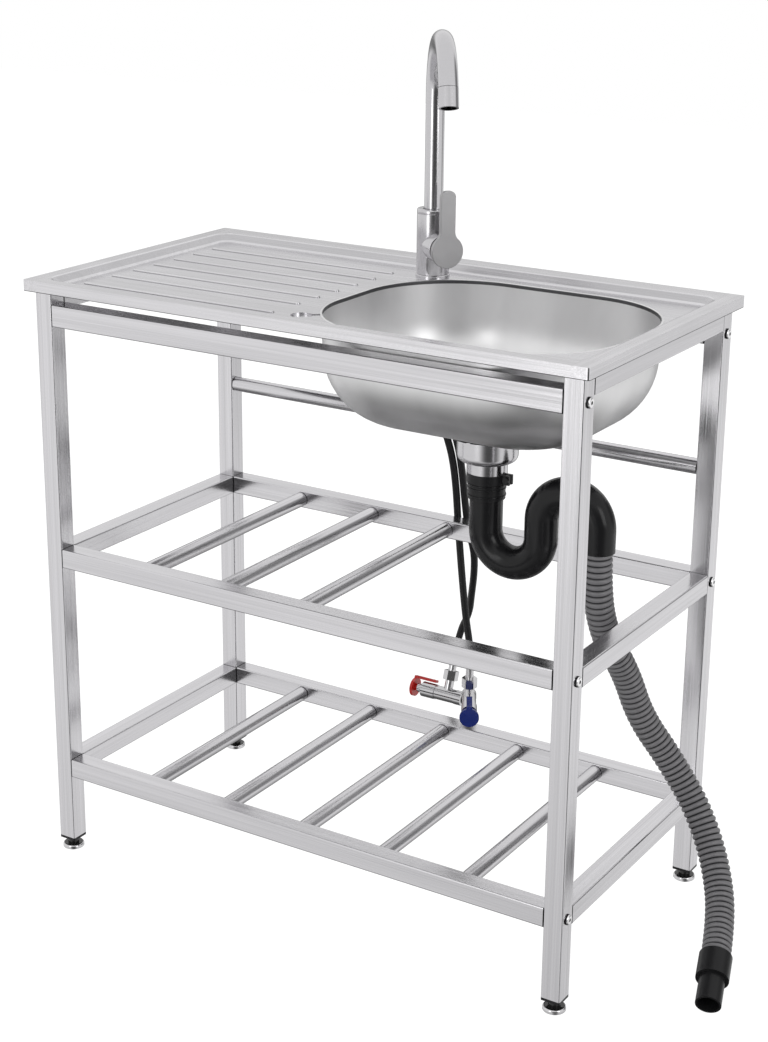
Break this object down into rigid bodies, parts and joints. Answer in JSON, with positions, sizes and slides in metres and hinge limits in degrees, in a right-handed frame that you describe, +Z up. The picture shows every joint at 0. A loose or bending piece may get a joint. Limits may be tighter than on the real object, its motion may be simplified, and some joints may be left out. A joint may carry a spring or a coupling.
{
  "type": "kitchen sink unit",
  "caption": "Free-standing stainless sink unit: drainboard worktop with bowl on a square-tube stand with shelves, swivel mixer tap, trap, ribbed drain hose and supply hoses.",
  "frame": {"origin": "on the floor under the middle of the worktop", "axes": "+X to the right as seen from the front, +Y to the back, +Z up"},
  "size_m": [0.9299, 0.5079, 1.09],
  "materials": {
    "sheet_steel": "satin pressed stainless sheet",
    "strainer_steel": "polished stainless",
    "tube_steel": "satin stainless tube",
    "bolt_steel": "plain steel",
    "tap_nickel": "satin brushed nickel",
    "fitting_chrome": "polished chrome",
    "tap_brass": "plain brass",
    "lever_metal": "matte grey",
    "foot_chrome": "polished disc and stud",
    "trap_plastic": "glossy black",
    "black_plastic": "moulded black",
    "white_plastic": "moulded white",
    "hose_plastic": "ribbed grey",
    "supply_rubber": "smooth black rubber",
    "rubber_seal": "black rubber",
    "red_plastic": "red",
    "blue_plastic": "blue"
  },
  "bodies": {
    "unit": {"bowl": "sheet_steel", "cartridge": "white_plastic", "cartridge_nut": "tap_nickel", "cold_valve_body": "fitting_chrome", "drain_hose": "hose_plastic", "drain_trap": "trap_plastic", "faucet_base_ring": "tap_nickel", "faucet_body": "tap_nickel", "faucet_mounting_nut": "tap_brass", "faucet_washer": "rubber_seal", "frame_bolts": "bolt_steel", "front_left_leg": "tube_steel", "front_right_leg": "tube_steel", "hose_connector": "black_plastic", "hose_ferrules": "fitting_chrome", "hose_nuts": "fitting_chrome", "hot_valve_body": "fitting_chrome", "leg_end_caps": "black_plastic", "low_front_rail": "tube_steel", "low_left_side_rail": "tube_steel", "low_rear_rail": "tube_steel", "low_right_side_rail": "tube_steel", "low_shelf_bar_1": "tube_steel", "low_shelf_bar_2": "tube_steel", "low_shelf_bar_3": "tube_steel", "low_shelf_bar_4": "tube_steel", "low_shelf_bar_5": "tube_steel", "mid_front_rail": "tube_steel", "mid_left_side_rail": "tube_steel", "mid_rear_rail": "tube_steel", "mid_right_side_rail": "tube_steel", "mid_shelf_bar_1": "tube_steel", "mid_shelf_bar_2": "tube_steel", "mid_shelf_bar_3": "tube_steel", "rail_end_plugs": "black_plastic", "rear_left_leg": "tube_steel", "rear_right_leg": "tube_steel", "strainer_body": "strainer_steel", "strainer_gasket": "rubber_seal", "strainer_lock_nut": "black_plastic", "supply_hose_cold": "supply_rubber", "supply_hose_hot": "supply_rubber", "top_front_rail": "tube_steel", "top_left_side_rail": "tube_steel", "top_rear_rail": "tube_steel", "top_right_side_rail": "tube_steel", "towel_bar": "tube_steel", "trap_collar": "black_plastic", "worktop": "sheet_steel"},
    "spout": {"spout": "tap_nickel", "aerator": "tap_nickel"},
    "lever_stem": {"cartridge_stem": "tap_brass"},
    "lever": {"faucet_handle": "lever_metal"},
    "basket": {"strainer_basket": "strainer_steel"},
    "hot_handle": {"hot_valve_handle": "red_plastic"},
    "cold_handle": {"cold_valve_handle": "blue_plastic"},
    "front_left_foot": {"front_left_levelling_foot": "foot_chrome"},
    "front_right_foot": {"front_right_levelling_foot": "foot_chrome"},
    "rear_left_foot": {"rear_left_levelling_foot": "foot_chrome"},
    "rear_right_foot": {"rear_right_levelling_foot": "foot_chrome"}
  },
  "joints": [
    {"name": "spout_swivel", "type": "hinge", "parent": "unit", "child": "spout", "pos_m": [-0.006, 0.137, 0.862], "axis": [0, 0, 1], "continuous": true},
    {"name": "lever_turn", "type": "hinge", "parent": "unit", "child": "lever_stem", "pos_m": [-0.006, 0.137, 0.815], "axis": [0.788, -0.6157, 0], "range_deg": [-45, 45]},
    {"name": "lever_lift", "type": "hinge", "parent": "lever_stem", "child": "lever", "pos_m": [0.01764, 0.11853, 0.815], "axis": [0.6157, 0.788, 0], "range_deg": [0, 20]},
    {"name": "basket_lift", "type": "slide", "parent": "unit", "child": "basket", "axis": [0, 0, 1], "range_m": [0, 0.06]},
    {"name": "hot_valve_turn", "type": "hinge", "parent": "unit", "child": "hot_handle", "pos_m": [-0.0446, 0.26393, 0.13322], "axis": [-1, 0, 0], "range_deg": [0, 90]},
    {"name": "cold_valve_turn", "type": "hinge", "parent": "unit", "child": "cold_handle", "pos_m": [0.02, 0.213, 0.158], "axis": [0.5, -0.866, 0], "range_deg": [0, 90]},
    {"name": "front_left_foot_thread", "type": "slide", "parent": "unit", "child": "front_left_foot", "axis": [0, 0, -1], "range_m": [0, 0.012]},
    {"name": "front_right_foot_thread", "type": "slide", "parent": "unit", "child": "front_right_foot", "axis": [0, 0, -1], "range_m": [0, 0.012]},
    {"name": "rear_left_foot_thread", "type": "slide", "parent": "unit", "child": "rear_left_foot", "axis": [0, 0, -1], "range_m": [0, 0.012]},
    {"name": "rear_right_foot_thread", "type": "slide", "parent": "unit", "child": "rear_right_foot", "axis": [0, 0, -1], "range_m": [0, 0.012]}
  ]
}
